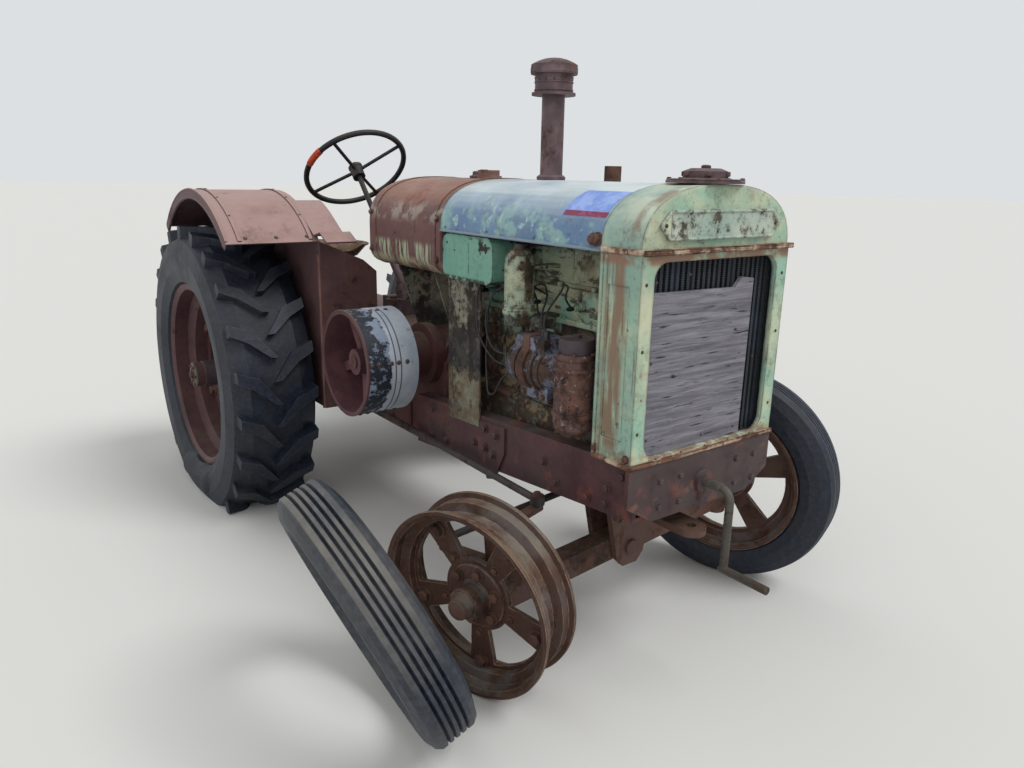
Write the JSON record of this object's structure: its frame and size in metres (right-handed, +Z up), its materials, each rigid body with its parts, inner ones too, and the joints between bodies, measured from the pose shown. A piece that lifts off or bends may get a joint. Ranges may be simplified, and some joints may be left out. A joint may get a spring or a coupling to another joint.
{
  "type": "standard-tread farm tractor",
  "caption": "Weathered standard-tread farm tractor with open engine, belt pulley and starting crank; its right front rim is bare, with the loose tyre leaning beside it.",
  "frame": {"origin": "on the ground under the middle of the tractor's outline, loose tyre included", "axes": "-Y is forward, +X is the tractor's left, +Z is up"},
  "size_m": [1.9587, 3.172, 1.811],
  "materials": {
    "dark_red_iron": "dull dark red paint over cast iron, rusted",
    "frame_red": "dull dark red paint, rusted",
    "axle_iron": "dull dark red paint, rusted",
    "wheel_rust": "rusted red paint",
    "tyre_rubber": "dusty worn rubber",
    "engine_green": "mint green paint under grease and dust",
    "fitting_green": "mint green paint, chipped",
    "manifold_rust": "rusted cast iron",
    "stack_rust": "rusted sheet",
    "magneto_metal": "dull cast aluminium",
    "governor_rust": "rusted cast iron",
    "core_mesh": "dark corroded mesh",
    "shell_green": "mint green paint with rust, cream bezel",
    "cap_rust": "rusted casting",
    "board_wood": "grey weathered board",
    "hood_paint": "weathered blue-grey over mint green paint",
    "tank_rust": "rust brown with streaks of old green paint",
    "post_sheet": "speckled bare sheet",
    "steering_iron": "dark oily steel",
    "grip_black": "worn black moulded rim",
    "pulley_paint": "peeling black over pale blue",
    "crank_steel": "browned steel",
    "fender_rust": "pinkish rust",
    "seat_rust": "rusted sheet"
  },
  "bodies": {
    "chassis": {"gearbox_case": "dark_red_iron", "right_frame_rail": "frame_red", "left_frame_rail": "frame_red", "front_bolster": "frame_red", "axle_bracket": "frame_red", "front_axle": "axle_iron", "engine_block": "engine_green", "cylinder_head": "engine_green", "manifold": "manifold_rust", "air_stack": "stack_rust", "filter_canister": "fitting_green", "magneto": "magneto_metal", "governor": "governor_rust", "radiator_core": "core_mesh", "radiator_shell": "shell_green", "radiator_cap": "cap_rust", "grille_board": "board_wood", "hood": "hood_paint", "fuel_tank": "tank_rust", "starting_tank": "fitting_green", "tank_support": "post_sheet", "steering_column": "steering_iron", "right_fender": "fender_rust", "left_fender": "fender_rust", "platform": "fender_rust", "seat": "seat_rust", "drawbar": "frame_red", "controls": "steering_iron"},
    "right_knuckle": {"right_knuckle": "axle_iron", "loose_tyre": "tyre_rubber"},
    "left_knuckle": {"left_knuckle": "axle_iron"},
    "right_front_wheel": {"right_front_rim": "wheel_rust"},
    "left_front_wheel": {"left_front_rim": "wheel_rust", "left_front_tyre": "tyre_rubber"},
    "right_rear_wheel": {"right_rear_rim": "wheel_rust", "right_rear_tyre": "tyre_rubber"},
    "left_rear_wheel": {"left_rear_rim": "wheel_rust", "left_rear_tyre": "tyre_rubber"},
    "tie_rod": {"tie_rod": "steering_iron"},
    "drag_link": {"drag_link": "steering_iron"},
    "pitman_arm": {"pitman_arm": "axle_iron"},
    "steering_wheel": {"steering_wheel": "grip_black"},
    "belt_pulley": {"belt_pulley": "pulley_paint"},
    "fan": {"fan": "steering_iron"},
    "crank": {"crank": "crank_steel"}
  },
  "joints": [
    {"name": "right_rear_spin", "type": "hinge", "parent": "chassis", "child": "right_rear_wheel", "pos_m": [0.1292, 0.921, 0.542], "axis": [1, 0, 0], "continuous": true},
    {"name": "left_rear_spin", "type": "hinge", "parent": "chassis", "child": "left_rear_wheel", "pos_m": [0.1292, 0.921, 0.542], "axis": [1, 0, 0], "continuous": true},
    {"name": "steer_right", "type": "hinge", "parent": "chassis", "child": "right_knuckle", "pos_m": [-0.36259, -1.012, 0.29917], "axis": [-0.0945, 0, 0.9955], "range_deg": [-52.5, 17.5]},
    {"name": "steer_left", "type": "hinge", "parent": "chassis", "child": "left_knuckle", "pos_m": [0.62099, -1.012, 0.39254], "axis": [-0.0945, 0, 0.9955], "range_deg": [-52.5, 17.5]},
    {"name": "right_front_spin", "type": "hinge", "parent": "right_knuckle", "child": "right_front_wheel", "pos_m": [-0.36259, -1.012, 0.29917], "axis": [0.9494, 0.3007, 0.0901], "continuous": true},
    {"name": "left_front_spin", "type": "hinge", "parent": "left_knuckle", "child": "left_front_wheel", "pos_m": [0.62099, -1.012, 0.39254], "axis": [0.9494, 0.3007, 0.0901], "continuous": true},
    {"name": "tie_rod_turn", "type": "hinge", "parent": "right_knuckle", "child": "tie_rod", "pos_m": [-0.42712, -0.83079, 0.3744], "axis": [-0.0945, 0, 0.9955], "range_deg": [-17.5, 52.5]},
    {"name": "drag_link_turn", "type": "hinge", "parent": "right_knuckle", "child": "drag_link", "pos_m": [-0.1785, -0.96943, 0.49243], "axis": [-0.0945, 0, 0.9955], "range_deg": [-18.5, 53.5]},
    {"name": "pitman_swing", "type": "hinge", "parent": "chassis", "child": "pitman_arm", "pos_m": [-0.1548, 0.181, 0.72144], "axis": [1, 0, 0], "range_deg": [-49.33, 16.78]},
    {"name": "steering_wheel_turn", "type": "hinge", "parent": "chassis", "child": "steering_wheel", "pos_m": [0.1292, 0.861, 1.462], "axis": [0, 0.6691, 0.7431], "range_deg": [-631, 211]},
    {"name": "belt_pulley_spin", "type": "hinge", "parent": "chassis", "child": "belt_pulley", "pos_m": [-0.4088, -0.119, 0.775], "axis": [1, 0, 0], "continuous": true},
    {"name": "fan_spin", "type": "hinge", "parent": "chassis", "child": "fan", "pos_m": [0.1292, -1.135, 0.88], "axis": [0, -1, 0], "continuous": true},
    {"name": "crank_turn", "type": "hinge", "parent": "chassis", "child": "crank", "pos_m": [0.1292, -1.324, 0.612], "axis": [0, 1, 0], "continuous": true}
  ],
  "couplings": [
    {"joint": "steer_left", "follows": "steer_right", "ratio": 1},
    {"joint": "tie_rod_turn", "follows": "steer_right", "ratio": -1},
    {"joint": "drag_link_turn", "follows": "steer_right", "ratio": -1},
    {"joint": "pitman_swing", "follows": "steer_right", "ratio": 0.93},
    {"joint": "steering_wheel_turn", "follows": "steer_right", "ratio": 12}
  ]
}
